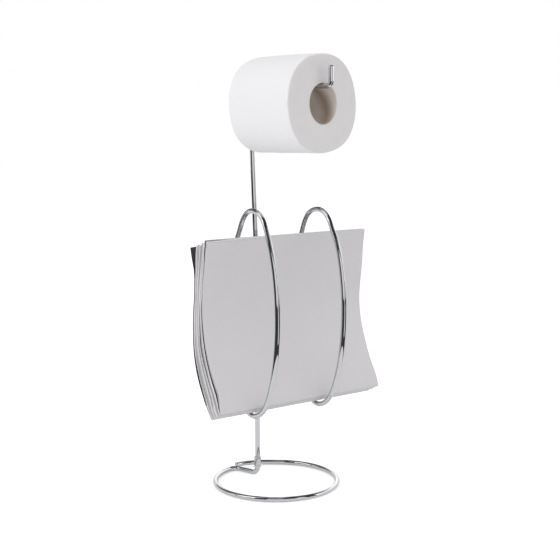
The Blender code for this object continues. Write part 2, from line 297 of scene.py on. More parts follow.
# Their azimuth and elevation in degrees, width and height in metres, and glow. The last three are
# bright cards, the others dark flags
FLAGS = (
    (-86, 13.2, 2.3, 1.0, 0.03),
    (51, 58, 2.1, 1.8, 0.03),
    (155, 70, 1.54, 2.9, 0.02),
    (-158, 36, 1.9, 1.86, 0.18),
    (-39, 44, 2.6, 1.6, 0.05),
    (26, 13.2, 0.7, 1.45, 0.06),
    (-102, 31.5, 0.79, 1.45, 1.6),
    (96, 18.5, 4.7, 0.62, 1.5),
    (-41, 86.6, 0.53, 0.42, 1.8),
)
# Sectors of the floor that only the chrome sees: azimuth and half angle in degrees, inner and
# outer radius in metres, and glow. Two are dark. The last one is light and lies on the first
FLOOR_FLAG_STEP = 0.4 * MM
FLOOR_FLAG_SIDES = 48
FLOOR_FLAGS = (
    (-14, 109, 0.42, 3.2, 0.05),
    (-100, 38, 0.7, 11.5, 0.05),
    (9, 17, 0.56, 4.3, 0.9),
)


# Numbers
def linear(code):
    """Turns an sRGB hex colour into linear red, green and blue."""
    channels = [int(code[place:place + 2], 16) / 255 for place in (1, 3, 5)]
    return tuple(c / 12.92 if c <= 0.04045 else ((c + 0.055) / 1.055) ** 2.4 for c in channels)


def clamp(value, most=1.0):
    """The value, but not below 0 or above the most."""
    return max(0.0, min(most, value))


def ease(share):
    """Rises smoothly from 0 to 1."""
    share = clamp(share)
    return share * share * (3 - 2 * share)


def swelling(swells, place):
    """Sum of smooth swellings at a place, each with its centre, width and size."""
    return sum(size * math.exp(-((place - centre) / width) ** 2) for centre, width, size in swells)


def evenly(first, last, steps):
    """Values or points from the first to the last, evenly spaced."""
    return [first + (last - first) * (step / steps) for step in range(steps + 1)]


def quarter_turn(steps):
    """Sine and cosine of angles from 0 to 90 degrees, evenly spaced."""
    return [(math.sin(angle), math.cos(angle)) for angle in evenly(0, math.pi / 2, steps)]


def level_direction(angle):
    """The level direction at an angle from X."""
    return Vector((math.cos(angle), math.sin(angle), 0))


def outward(azimuth, elevation):
    """The direction at an azimuth from the front and an elevation, both in radians."""
    return Vector((math.sin(azimuth) * math.cos(elevation),
                   -math.cos(azimuth) * math.cos(elevation), math.sin(elevation)))


def row_value(rows, column, share):
    """Value of a table at a height share, on straight lines through its rows."""
    for below, above in zip(rows, rows[1:]):
        if share <= above[0]:
            part = (share - below[0]) / (above[0] - below[0])
            return below[column] + (above[column] - below[column]) * part
    return rows[-1][column]


# Sizes and colours
def size_property(name, description, default):
    """A length for a property group."""
    return bpy.props.FloatProperty(
        name=name, description=description, default=default, min=0.0,
        unit="LENGTH", subtype="DISTANCE", precision=5)


def colour_property(name, description, code):
    """A colour for a property group, from its sRGB hex code."""
    return bpy.props.FloatVectorProperty(
        name=name, description=description, default=linear(code), size=3, min=0.0, max=1.0,
        subtype="COLOR")


def wire_diameter():
    """Diameter of the frame's wire, from the height of a level one."""
    low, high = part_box("rail_upper")
    return (high - low).z


class RollHolderSizes(bpy.types.PropertyGroup):
    """Sizes that a user would change."""
    wire: size_property("Wire diameter", "Diameter of the chromed wire", wire_diameter())
    weld: size_property("Weld bead", "Half width of a weld bead", WELD_HALF_SIZES[0])
    rim: size_property("Roll rim", "Rounding of the roll's edges", ROLL_RIM_RADIUS)
    ply_band: size_property("Ply band", "Width of a band of plies on the roll's ends", PLY_BAND)
    cover: size_property("Cover thickness", "Thickness of a magazine's cover", COVER_THICKNESS)
    leaf: size_property("Leaf thickness", "Thickness of a magazine's leaf", LEAF_THICKNESS)


class RollHolderColours(bpy.types.PropertyGroup):
    """Colours that a user would change."""
    chrome: colour_property("Chrome", "Reflected colour of the chrome plate", "#C9CACD")
    tissue: colour_property("Tissue", "Side of the roll", "#F3F3F5")
    # The same paper as the side, greyer partly from the cut ends' own texture and partly as painted
    # shade between the ends of the plies
    tissue_end: colour_property("Tissue ends", "Cut ends of the roll", "#E4E1E2")
    cardboard: colour_property("Cardboard", "Core of the roll", "#E2DBD6")
    # Painted shade: the darker brown of the band in the middle of the core's bore
    painted_shade_cardboard: colour_property("Brown cardboard", "Browner ply of the core", "#B9A89A")
    cover: colour_property("Cover", "Front covers of the magazines", "#D9D7DA")
    # Dark back of the rear magazine's cover: a dark cover outside, and painted shade inside where
    # its corner springs back. It also colours the leaves painted as shade
    dark_back_and_shade: colour_property("Dark cover", "Cover of the rear magazine", "#3E3D40")
    leaf: colour_property("Leaves", "Leaves of the magazines", "#F7F6F7")
    floor: colour_property("Floor", "Studio floor", "#F4F4F4")


# Shader helpers
WHITE = (1, 1, 1, 1)
# Inputs of a Mix node that mixes colours
FACTOR, FIRST, SECOND = 0, 6, 7


def set_sockets(tree, node, sockets):
    """Sets a node's inputs. One given as another node, or as its output, is linked."""
    for name, value in sockets.items():
        if isinstance(value, bpy.types.Node):
            value = next(output for output in value.outputs if output.enabled)
        if isinstance(value, bpy.types.NodeSocket):
            tree.links.new(value, node.inputs[name])
        else:
            node.inputs[name].default_value = value


def add_node(tree, kind, sockets=None, **settings):
    """Adds a shader node with its settings, values and links."""
    node = tree.nodes.new(kind)
    for name, value in settings.items():
        setattr(node, name, value)
    set_sockets(tree, node, sockets or {})
    return node


def new_material(name):
    """The node tree of a new material, and its Principled shader."""
    material = bpy.data.materials.new(name)
    material.use_nodes = True
    return material.node_tree, material.node_tree.nodes["Principled BSDF"]


def shade(colour, gain):
    """A lighter or darker tone of a colour, with its alpha."""
    return (*(clamp(channel * gain) for channel in colour), 1)


def per_metre(millimetres):
    """Scale of a pattern whose features are this many millimetres across."""
    return 1 / (millimetres * MM)


def object_place(tree, location=(0, 0, 0), rotation=(0, 0, 0)):
    """Object coordinates, seen from a place and turn on the object."""
    coordinates = add_node(tree, "ShaderNodeTexCoord")
    return add_node(tree, "ShaderNodeMapping", {
        "Vector": coordinates.outputs["Object"], "Location": location, "Rotation": rotation,
    }, vector_type="TEXTURE")


def roll_place(tree):
    """Coordinates on the roll, with Z along its axis."""
    return object_place(tree, ROLL_CENTRE, ROLL_TURN.to_euler())


# Materials
def chrome_plate(name, colour, roughness):
    """Bright chrome over polished and drawn steel: a cool mirror with faint ripples and smears."""
    tree, shader = new_material(name)
    place = object_place(tree)
    smear = add_node(tree, "ShaderNodeTexNoise", {
        "Vector": place, "Scale": per_metre(9), "Detail": 3, "Roughness": 0.6})
    ripple = add_node(tree, "ShaderNodeTexNoise", {
        "Vector": place, "Scale": per_metre(2.4), "Detail": 2, "Roughness": 0.5})
    set_sockets(tree, shader, {
        "Base Color": add_node(tree, "ShaderNodeMix", {
            FACTOR: smear, FIRST: shade(colour, 0.96), SECOND: shade(colour, 1.04),
        }, data_type="RGBA"),
        "Metallic": 1.0,
        "Roughness": add_node(tree, "ShaderNodeMapRange", {
            "Value": smear, "From Min": 0.3, "From Max": 0.7,
            "To Min": roughness * 0.7, "To Max": roughness * 1.5}),
        "Normal": add_node(tree, "ShaderNodeBump", {
            "Height": ripple, "Distance": 0.03 * MM, "Strength": 0.25}),
    })


def wound_tissue(name, colour):
    """Soft tissue paper, embossed and wound: matt white with a fine crepe and soft dimples."""
    tree, shader = new_material(name)
    place = roll_place(tree)
    crepe = add_node(tree, "ShaderNodeTexNoise", {
        "Vector": place, "Scale": per_metre(0.9), "Detail": 4, "Roughness": 0.65})
    # The embossed dimples stand 4 mm apart
    dimples = add_node(tree, "ShaderNodeTexVoronoi", {
        "Vector": place, "Scale": per_metre(4), "Randomness": 0.25}, feature="SMOOTH_F1")
    cloud = add_node(tree, "ShaderNodeTexNoise", {
        "Vector": place, "Scale": per_metre(30), "Detail": 2})
    crepe_bump = add_node(tree, "ShaderNodeBump", {
        "Height": crepe, "Distance": 0.12 * MM, "Strength": 0.35})
    set_sockets(tree, shader, {
        "Base Color": add_node(tree, "ShaderNodeMix", {
            FACTOR: cloud, FIRST: shade(colour, 0.985), SECOND: shade(colour, 1.01),
        }, data_type="RGBA"),
        "Roughness": 0.95,
        "Specular IOR Level": 0.2,
        "Sheen Weight": 0.15,
        "Sheen Roughness": 0.6,
        "Normal": add_node(tree, "ShaderNodeBump", {
            "Height": dimples, "Distance": 0.1 * MM, "Strength": 0.25, "Normal": crepe_bump}),
    })


def cut_tissue(name, colour, band):
    """Cut end of a wound roll, with rings where plies stand proud.

    It is greyer than its side, partly from its own texture and partly as painted shade between the
    plies' ends.
    """
    tree, shader = new_material(name)
    place = roll_place(tree)
    fibre = add_node(tree, "ShaderNodeTexNoise", {
        "Vector": place, "Scale": per_metre(0.7), "Detail": 4, "Roughness": 0.7})
    # The plies are under 0.2 mm thick, and the rings show every fourth of them or so
    flat = add_node(tree, "ShaderNodeVectorMath", {0: place, 1: (1, 1, 0)}, operation="MULTIPLY")
    reach = add_node(tree, "ShaderNodeVectorMath", {0: flat}, operation="LENGTH")
    rings = add_node(tree, "ShaderNodeMath", {
        0: reach, 1: 2 * math.pi / (band * RING_SHARE)}, operation="MULTIPLY")
    wave = add_node(tree, "ShaderNodeMath", {0: rings}, operation="SINE")
    cloud = add_node(tree, "ShaderNodeTexNoise", {
        "Vector": place, "Scale": per_metre(24), "Detail": 3})
    tone = add_node(tree, "ShaderNodeMath", {0: wave, 1: RING_TONE, 2: cloud},
                    operation="MULTIPLY_ADD")
    fibre_bump = add_node(tree, "ShaderNodeBump", {
        "Height": fibre, "Distance": 0.12 * MM, "Strength": 0.4})
    set_sockets(tree, shader, {
        "Base Color": add_node(tree, "ShaderNodeMix", {
            FACTOR: tone, FIRST: shade(colour, 0.95), SECOND: shade(colour, 1.03),
        }, data_type="RGBA"),
        "Roughness": 0.95,
        "Specular IOR Level": 0.15,
        "Normal": add_node(tree, "ShaderNodeBump", {
            "Height": wave, "Distance": 0.05 * MM, "Strength": 0.4, "Normal": fibre_bump}),
    })


def core_cardboard(name, colour, brown):
    """Grey chipboard tube, wound on a slant: fibres, one spiral seam and a brown band of painted
    shade.
    """
    tree, shader = new_material(name)
    place = roll_place(tree)
    fibre = add_node(tree, "ShaderNodeTexNoise", {
        "Vector": place, "Scale": per_metre(1.1), "Detail": 5, "Roughness": 0.7})
    angle = add_node(tree, "ShaderNodeTexGradient", {"Vector": place}, gradient_type="RADIAL")
    split = add_node(tree, "ShaderNodeSeparateXYZ", {"Vector": place})
    climb = add_node(tree, "ShaderNodeMath", {
        0: split.outputs["Z"], 1: 1 / SEAM_CLIMB, 2: angle.outputs["Fac"],
    }, operation="MULTIPLY_ADD")
    start = add_node(tree, "ShaderNodeMath", {0: climb, 1: SEAM_START}, operation="ADD")
    # Distance from the seam in turns, to either side
    turn = add_node(tree, "ShaderNodeMath", {0: start, 1: 0.5}, operation="PINGPONG")
    seam = add_node(tree, "ShaderNodeMapRange", {
        "Value": turn, "From Max": SEAM_WIDTH}, interpolation_type="SMOOTHSTEP")
    # Painted shade on both sides of the seam: a darker brown band for the shade in the
    # middle of the bore
    band = add_node(tree, "ShaderNodeMapRange", {
        "Value": turn, "From Max": PAINTED_SHADE_WIDTH, "To Min": 1.0, "To Max": 0.0,
    }, interpolation_type="SMOOTHSTEP")
    grey_ply = add_node(tree, "ShaderNodeMix", {
        FACTOR: fibre, FIRST: shade(colour, 0.9), SECOND: shade(colour, 1.2)}, data_type="RGBA")
    painted_shade_tone = add_node(tree, "ShaderNodeMix", {
        FACTOR: fibre, FIRST: shade(brown, 0.74), SECOND: shade(brown, 1.14)}, data_type="RGBA")
    plies = add_node(tree, "ShaderNodeMix", {
        FACTOR: band, FIRST: grey_ply, SECOND: painted_shade_tone}, data_type="RGBA")
    fibre_bump = add_node(tree, "ShaderNodeBump", {
        "Height": fibre, "Distance": 0.15 * MM, "Strength": 0.4})
    set_sockets(tree, shader, {
        "Base Color": add_node(tree, "ShaderNodeMix", {
            FACTOR: seam, FIRST: shade(brown, 0.85), SECOND: plies}, data_type="RGBA"),
        "Roughness": 0.85,
        "Specular IOR Level": 0.3,
        "Normal": add_node(tree, "ShaderNodeBump", {
            "Height": seam, "Distance": 0.1 * MM, "Strength": 0.12, "Normal": fibre_bump}),
    })


def cover_stock(name, colour, roughness):
    """Coated cover stock, blank: smooth and flat in tone, with a faint mottle and soft gloss."""
    tree, shader = new_material(name)
    place = object_place(tree)
    mottle = add_node(tree, "ShaderNodeTexNoise", {
        "Vector": place, "Scale": per_metre(38), "Detail": 2})
    grain = add_node(tree, "ShaderNodeTexNoise", {
        "Vector": place, "Scale": per_metre(0.8), "Detail": 3, "Roughness": 0.6})
    set_sockets(tree, shader, {
        "Base Color": add_node(tree, "ShaderNodeMix", {
            FACTOR: mottle, FIRST: shade(colour, 0.985), SECOND: shade(colour, 1.015),
        }, data_type="RGBA"),
        "Roughness": roughness,
        "Specular IOR Level": 0.35,
        "Normal": add_node(tree, "ShaderNodeBump", {
            "Height": grain, "Distance": 0.03 * MM, "Strength": 0.2}),
    })


def cut_leaves(name, colour):
    """Thin coated leaves: pale, with cut edges that vary from leaf to leaf."""
    tree, shader = new_material(name)
    coordinates = add_node(tree, "ShaderNodeTexCoord")
    # The tone changes every 1.6 mm through the stack, coarser than real leaves, and hardly along it
    stretched = add_node(tree, "ShaderNodeMapping", {
        "Vector": coordinates.outputs["Object"],
        "Scale": (per_metre(60), per_metre(1.6), per_metre(25))})
    streak = add_node(tree, "ShaderNodeTexNoise", {"Vector": stretched, "Scale": 1.0, "Detail": 2})
    level = add_node(tree, "ShaderNodeMapRange", {
        "Value": streak, "From Min": 0.35, "From Max": 0.65})
    set_sockets(tree, shader, {
        "Base Color": add_node(tree, "ShaderNodeMix", {
            FACTOR: level, FIRST: shade(colour, 0.92), SECOND: shade(colour, 1.06),
        }, data_type="RGBA"),
        "Roughness": 0.65,
        "Specular IOR Level": 0.3,
    })


# Mesh helpers
def ring_edges(ring):
    """The edges between the points of a ring."""
    members = set(ring)
    edges = {edge for vert in ring for edge in vert.link_edges if edge.other_vert(vert) in members}
    return list(edges)


def carried_frames(points, closed):
    """A matrix at each point of a wire's line, with Z along it and no twist on the way."""
    last = len(points) - 1
    directions = []
    for place, here in enumerate(points):
        if closed:
            before, after = points[place - 1], points[0 if place == last else place + 1]
        else:
            before, after = points[max(place - 1, 0)], points[min(place + 1, last)]
        directions.append(((after - here).normalized() + (here - before).normalized()).normalized())
    turn = directions[0].to_track_quat("Z", "Y")
    frames = []
    for place, direction in enumerate(directions):
        if place:
            turn = directions[place - 1].rotation_difference(direction) @ turn
        frames.append(Matrix.Translation(points[place]) @ turn.to_matrix().to_4x4())
    return frames


def sweep_wire(bm, points, radius, closed, shares):
    """A round wire: a circle that is extruded from point to point, at shares of its radius."""
    frames = carried_frames(points, closed)
    ring = bmesh.ops.create_circle(
        bm, segments=WIRE_SIDES, radius=radius * shares[0], matrix=frames[0])["verts"]
    first = ring
    for place in range(1, len(points)):
        grown = bmesh.ops.extrude_edge_only(bm, edges=ring_edges(ring))["geom"]
        ring = [item for item in grown if isinstance(item, bmesh.types.BMVert)]
        scale = Matrix.Scale(shares[place] / shares[place - 1], 4)
        bmesh.ops.transform(
            bm, matrix=frames[place] @ scale @ frames[place - 1].inverted(), verts=ring)
    if closed:
        bmesh.ops.bridge_loops(bm, edges=ring_edges(ring) + ring_edges(first))
    else:
        for end in (first, ring):
            bmesh.ops.contextual_create(bm, geom=ring_edges(end))
    bmesh.ops.recalc_face_normals(bm, faces=bm.faces)


def round_end(points, shares, radius, rounding):
    """Puts the stations of a rounded end in place of the last one of a wire."""
    direction = (points[-1] - points[-2]).normalized()
    tip = points.pop()
    shares.pop()
    edge = radius * rounding
    for sine, cosine in quarter_turn(END_STEPS):
        points.append(tip - direction * edge * (1 - sine))
        shares.append((radius - edge + edge * cosine) / radius)


def fillet(before, corner, after, radius):
    """Points of the arc that rounds a corner between two straight runs."""
    towards_before = (before - corner).normalized()
    towards_after = (after - corner).normalized()
    half_angle = towards_before.angle(towards_after) / 2
    inward = (towards_before + towards_after).normalized()
    centre = corner + inward * (radius / math.sin(half_angle))
    start = corner + towards_before * (radius / math.tan(half_angle)) - centre
    axis = towards_after.cross(towards_before).normalized()
    return [centre + Matrix.Rotation(angle, 3, axis) @ start
            for angle in evenly(0, math.pi - 2 * half_angle, BEND_STEPS)]


def spin_profile(bm, profile, steps):
    """A closed profile of radius and height, turned about Z."""
    verts = [bm.verts.new((radius, 0, height)) for radius, height in profile]
    edges = [bm.edges.new(pair) for pair in zip(verts, verts[1:] + verts[:1])]
    bmesh.ops.spin(bm, geom=verts + edges, cent=(0, 0, 0), axis=(0, 0, 1), dvec=(0, 0, 0),
                   angle=2 * math.pi, steps=steps, use_merge=True)
    bmesh.ops.remove_doubles(bm, verts=bm.verts, dist=MERGE_DISTANCE)
    bmesh.ops.recalc_face_normals(bm, faces=bm.faces)


def hang_on_arm(bm):
    """Moves what was turned about Z to the roll's place on the arm."""
    turn = ROLL_TURN.to_matrix().to_4x4()
    bmesh.ops.transform(bm, matrix=Matrix.Translation(ROLL_PLACE) @ turn, verts=bm.verts)


def mesh_object(name, bm, materials):
    """Turns a bmesh into an object of the scene, with its named materials."""
    mesh = bpy.data.meshes.new(name)
    bm.to_mesh(mesh)
    bm.free()
    for material in materials:
        mesh.materials.append(bpy.data.materials[material])
    made = bpy.data.objects.new(name, mesh)
    bpy.context.scene.collection.objects.link(made)
    return made


def finish_piece(name, bm, body, materials, replaces=(), sharp=40):
    """Turns a bmesh into a smooth-shaded piece that rides on a body. sharp is in degrees."""
    piece = mesh_object(name, bm, materials)
    piece.data.shade_smooth()
    piece.data.set_sharp_from_angle(angle=math.radians(sharp))
    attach(piece, body)
    if replaces:
        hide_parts(*replaces)
    return piece


def wire_piece(name, node, points, radius, closed=False, shares=None):
    """A piece of the stand's wire, in place of its frame node."""
    bm = bmesh.new()
    sweep_wire(bm, points, radius, closed, shares or [1.0] * len(points))
    finish_piece(name, bm, "stand", ["chromed_steel_wire"], [node])


# Lines of the wires
def base_line():
    """The ring from its free end clockwise, its inward bend, the spoke and the stub."""
    rise = Vector((0, 0, wire_diameter() / 2))
    points = []
    for turned_by in evenly(0, FREE_END_ANGLE - RING_BEND_ANGLE + 2 * math.pi, RING_STEPS):
        lift = FREE_END_RISE * ease(1 - turned_by / FREE_END_RISE_ANGLE)
        points.append(level_direction(FREE_END_ANGLE - turned_by) * RING_RADIUS + rise
                      + Vector((0, 0, lift)))
    centre = level_direction(RING_BEND_ANGLE) * (RING_RADIUS - RING_BEND_RADIUS) + rise
    foot = Vector((0, ROD_DISTANCE, 0)) + rise
    to_foot = foot - centre
    leave = math.atan2(to_foot.y, to_foot.x) + math.acos(RING_BEND_RADIUS / to_foot.length)
    points += [centre + level_direction(angle) * RING_BEND_RADIUS
               for angle in evenly(RING_BEND_ANGLE, leave, BEND_STEPS)[1:]]
    stub_top = Vector((0, ROD_DISTANCE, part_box("base_wire")[1].z))
    return points + fillet(points[-1], foot, stub_top, FOOT_BEND_RADIUS) + [stub_top]


def rod_line():
    """The rod from its foot, the arm and the upturned tip."""
    bottom = Vector((0, ROD_DISTANCE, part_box("stem_rod")[0].z))
    lean_start = Vector((0, ROD_DISTANCE, LEAN_START))
    back = (ARM_HEIGHT - LEAN_START) * math.tan(ROD_LEAN)
    top = Vector((0, ROD_DISTANCE, ARM_HEIGHT)) - ARM_DIRECTION * back
    corner = top + ARM_DIRECTION * ARM_LENGTH
    tip = corner + Vector((0, 0, TIP_HEIGHT))
    return (evenly(bottom, lean_start, ROD_STEPS) + fillet(lean_start, top, corner, ARM_BEND_RADIUS)
            + fillet(top, corner, tip, TIP_BEND_RADIUS) + [tip])


def loop_ellipse(node):
    """Centre, half depth and half height of a frame loop's middle line."""
    low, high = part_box(node)
    wire = high.x - low.x
    return (low + high) / 2, (high.y - low.y - wire) / 2, (high.z - low.z - wire) / 2


def loop_line(node):
    """The slightly uneven ellipse of one loop."""
    centre, half_depth, half_height = loop_ellipse(node)
    drop, fuller = LOOP_SETTLING[node]
    centre -= Vector((0, 0, drop))
    points = []
    for step in range(LOOP_STEPS):
        angle = 2 * math.pi * step / LOOP_STEPS
        sine, cosine = math.sin(angle), math.cos(angle)
        depth = half_depth + (fuller if cosine < 0 else 0.0)
        out = Vector((0, half_height * cosine, depth * sine)).normalized()
        swell = swelling(LOOP_SWELLINGS[node], math.degrees(angle))
        points.append(centre + Vector((0, depth * cosine, half_height * sine)) + out * swell)
    return points


def leg_y(node, height):
    """Y of a loop's back leg at a height."""
    centre, half_depth, half_height = loop_ellipse(node)
    share = (height - centre.z) / half_height
    return centre.y + half_depth * math.sqrt(1 - share * share)


# Shape of the magazines
def stack_value(column, share):
    """Value of the stack's table at a height share, on a smooth curve through its rows."""
    rows = STACK_SHARES
    last = len(rows) - 1
    place = 0
    while place < last - 1 and share > rows[place + 1][0]:
        place += 1

    def steepness(number):
        """That of the straight line from a row to the next."""
        below, above = rows[number], rows[number + 1]
        return (above[column] - below[column]) / (above[0] - below[0])

    def slope(number):
        """That of the curve at a row."""
        if number in (0, last):
            return steepness(min(number, last - 1))
        below = rows[number][0] - rows[number - 1][0]
        above = rows[number + 1][0] - rows[number][0]
        return (steepness(number - 1) * above + steepness(number) * below) / (below + above)

    span = rows[place + 1][0] - rows[place][0]
    part = (share - rows[place][0]) / span
    rise = part * part * (3 - 2 * part)
    value = rows[place][column] * (1 - rise) + rows[place + 1][column] * rise
    return value + span * (part * (1 - part) ** 2 * slope(place)
                           + part * part * (part - 1) * slope(place + 1))


def middle_y(number, height):
    """Y of a magazine's middle surface at a height."""
    centre, half_depth, half_height = loop_ellipse("loop_left")
    share = (height - centre.z) / half_height
    front, rear = stack_value(1, share), stack_value(2, share)
    return centre.y + half_depth * (front + (rear - front) * (number + 0.5) / MAGAZINE_COUNT)


def corner_flare(point):
    """How far the last cover's upper left corner springs back and curls down."""
    out = clamp((LEFT_END_START - point.x) / LEFT_END_LENGTH)
    up = clamp((point.z - CORNER_START) / CORNER_LENGTH)
    return Vector((0, CORNER_SPRING * out ** CORNER_POWER * up ** CORNER_POWER,
                   -CORNER_CURL * out ** 3 * up)) * MM


class MagazineForm:
    """Bowed middle line of one magazine, and where its bent ends and its foot go."""

    def __init__(self, number):
        low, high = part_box(f"magazine_{number + 1}_cover")
        self.number = number
        self.foot = low.z
        self.left = low.x
        self.right = high.x
        heights = evenly(self.foot + MAGAZINE_HALF_THICKNESS, self.foot + MAGAZINE_HEIGHT,
                         SHEET_ROWS - 1)
        points = [Vector((0, middle_y(number, height), height)) for height in heights]
        self.line = []
        for place, point in enumerate(points):
            before, after = points[max(place - 1, 0)], points[min(place + 1, SHEET_ROWS - 1)]
            along = (after - before).normalized()
            normal = Vector((0, along.z, -along.y))
            self.line.append((point, normal, along))

    def settle(self, point, order, out_column, front):
        """Moves a point as the ends of the stack are twisted and fanned and its feet sag.

        The order is 0 for the front cover and grows to 1 at the back of the stack. Only the
        front of the first magazine bends forwards and only the last one bends back. The others
        stick out instead, the middle ones also with their feet at the right, so each magazine
        can still slide between its neighbours.
        """
        tall = clamp((point.z - self.foot) / MAGAZINE_HEIGHT)
        right = max(0.0, (point.x - RIGHT_END_START) / RIGHT_END_LENGTH)
        left = clamp((LEFT_END_START - point.x) / LEFT_END_LENGTH, LEFT_END_MOST) ** 2
        twist = right * row_value(RIGHT_ENDS, TWIST, tall)
        gap = left * row_value(LEFT_ENDS, GAP, tall)
        fan = gap + left * order * row_value(LEFT_ENDS, FAN, tall)
        out = -left * row_value(LEFT_ENDS, out_column, tall)
        depth = 0.0
        last = self.number == MAGAZINE_COUNT - 1
        if self.number == 0:
            depth += min(0.0, twist)
            out -= SIDEWAYS_SHARE * max(0.0, twist)
        elif not last:
            out -= SIDEWAYS_SHARE * twist * max(0.0, 1 - tall / FOOT_SHARE)
        if last:
            depth += fan
        elif order > 0:
            out -= SIDEWAYS_SHARE * fan
        elif front:
            depth -= gap
            out -= SIDEWAYS_SHARE * gap
        beyond = 0.0 if last else max(0.0, point.x - LOOP_DISTANCE)
        sag = SAG + SAG_TILT * (point.x - SAG_RETURN * beyond) / LOOP_DISTANCE
        return point + Vector((out, depth, -sag * (1 - tall) ** 2)) * MM


class Sheet:
    """One folded sheet of a magazine.

    half is its distance from the magazine's middle, ends are its left and right ends, order is
    its place in the depth of the stack, out is its column in the left ends' table, front and rear
    are the swellings of its two flaps by height share, drop is how its front flap's upper edge
    hangs, flared says that its upper left corner springs back, materials are those of its two
    flaps, and spine is the part of the rear one, next to the fold, that has the front one's.
    """

    def __init__(self, half, thickness, ends, order, out, front, rear, drop=None, flared=False,
                 materials=(0, 0), spine=0.0):
        self.half = half
        self.thickness = thickness
        self.ends = ends
        self.order = order
        self.out = out
        self.front = front
        self.rear = rear
        self.drop = drop
        self.flared = flared
        self.materials = materials
        self.spine = spine

    def point(self, form, row, across):
        """Place of a point, from its row round the fold and its distance along the stack."""
        rear_row = row - SHEET_ROWS - FOLD_ROWS + 1
        front = row < SHEET_ROWS
        place = SHEET_ROWS - 1 - row if front else max(0, rear_row)
        share = place / (SHEET_ROWS - 1)
        middle, normal, along = form.line[place]
        if front:
            moved = middle - normal * (self.half + swelling(self.front, share))
        elif rear_row >= 0:
            moved = middle + normal * (self.half + swelling(self.rear, share))
        else:
            turned = (row - SHEET_ROWS + 1) / FOLD_ROWS
            angle = math.pi * turned
            radius = (self.half + swelling(self.front, 0) * (1 - turned)
                      + swelling(self.rear, 0) * turned)
            moved = middle - (normal * math.cos(angle) + along * math.sin(angle)) * radius
        moved = moved + Vector((across, 0, 0))
        if front and self.drop:
            most, start, length = self.drop
            moved.z -= most * ease((start - across) / length) * share ** 2
        moved = form.settle(moved, self.order, self.out, front)
        if rear_row >= 0 and self.flared:
            moved += corner_flare(moved)
        return moved

    def build(self, bm, form):
        """A grid laid on the magazine's form round its fold, and then given its thickness."""
        rows = 2 * SHEET_ROWS + FOLD_ROWS - 1
        verts = bmesh.ops.create_grid(
            bm, x_segments=SHEET_COLUMNS, y_segments=rows - 1, size=1)["verts"]
        faces = list({face for vert in verts for face in vert.link_faces})
        for face in faces:
            face.material_index = self.materials[face.calc_center_median().y > self.spine]
        left, right = self.ends
        for vert in verts:
            column = (vert.co.x + 1) / 2
            row = round((vert.co.y + 1) / 2 * (rows - 1))
            eased = ((1 - END_CROWDING) * column
                     + END_CROWDING * (0.5 - 0.5 * math.cos(math.pi * column)))
            vert.co = self.point(form, row, left + (right - left) * eased)
        bmesh.ops.recalc_face_normals(bm, faces=faces)
        bmesh.ops.solidify(bm, geom=faces, thickness=self.thickness)


# Operators
class ROLLHOLDER_OT_finishes(bpy.types.Operator):
    """Make the materials of every piece"""
    bl_idname = "rollholder.finishes"
    bl_label = "Finishes"

    def execute(self, context):
        colours = context.scene.roll_holder_colours
        chrome_plate("chromed_steel_wire", colours.chrome, roughness=0.05)
        chrome_plate("chromed_steel_sleeve", colours.chrome, roughness=0.1)
        wound_tissue("embossed_tissue", colours.tissue)
        cut_tissue("cut_tissue_end", colours.tissue_end, context.scene.roll_holder_sizes.ply_band)
        core_cardboard("spiral_wound_cardboard", colours.cardboard, colours.painted_shade_cardboard)
        cover_stock("pale_cover_stock", colours.cover, roughness=0.5)
        # A dark cover outside, and painted shade on the inside of the last cover's flared corner
        cover_stock("dark_back_and_shade_stock", colours.dark_back_and_shade, roughness=0.45)
        # Painted shade: dark leaves for the gaps behind the two front magazines' front covers
        cover_stock("painted_shade_leaf", colours.dark_back_and_shade, roughness=0.5)
        cut_leaves("coated_leaves", colours.leaf)
        return {"FINISHED"}


class ROLLHOLDER_OT_base(bpy.types.Operator):
    """Make the base ring with its spoke and stub, and the ferrule on it"""
    bl_idname = "rollholder.base"
    bl_label = "Base"

    def execute(self, context):
        radius = context.scene.roll_holder_sizes.wire / 2
        points = base_line()[::-1]
        shares = [1.0] * len(points)
        round_end(points, shares, radius, RING_END_ROUNDING)
        wire_piece("bent_base_wire", "base_wire", points, radius, shares=shares)
        self.ferrule(radius + FERRULE_CLEARANCE)
        return {"FINISHED"}

    def ferrule(self, inner):
        """A turned sleeve with rounded ends and a groove near each."""
        low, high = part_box("base_ferrule")
        outer = (high.x - low.x) / 2
        half = (high.z - low.z) / 2
        edge = FERRULE_EDGE
        profile = [(outer - edge + edge * sine, half - edge + edge * cosine)
                   for sine, cosine in quarter_turn(EDGE_STEPS)]
        for level in (half - GROOVE_DISTANCE, GROOVE_DISTANCE - half):
            profile += [(outer - GROOVE_DEPTH * math.cos(angle),
                         level - GROOVE_HALF_WIDTH * math.sin(angle))
                        for angle in evenly(-math.pi / 2, math.pi / 2, GROOVE_STEPS)]
        profile += [(outer - edge + edge * cosine, edge - half - edge * sine)
                    for sine, cosine in quarter_turn(EDGE_STEPS)]
        profile += [(inner, -half), (inner, half)]
        bm = bmesh.new()
        spin_profile(bm, profile, FERRULE_SIDES)
        bmesh.ops.translate(bm, vec=(low + high) / 2, verts=bm.verts)
        finish_piece("stub_ferrule", bm, "stand", ["chromed_steel_sleeve"],
                     ["base_ferrule"])


class ROLLHOLDER_OT_rod(bpy.types.Operator):
    """Make the upright rod with its arm and upturned tip"""
    bl_idname = "rollholder.rod"
    bl_label = "Rod and arm"

    def execute(self, context):
        radius = context.scene.roll_holder_sizes.wire / 2
        points = rod_line()
        shares = [1.0] * len(points)
        round_end(points, shares, radius, TIP_ROUNDING)
        wire_piece("upright_rod_and_arm", "stem_rod", points, radius, shares=shares)
        return {"FINISHED"}


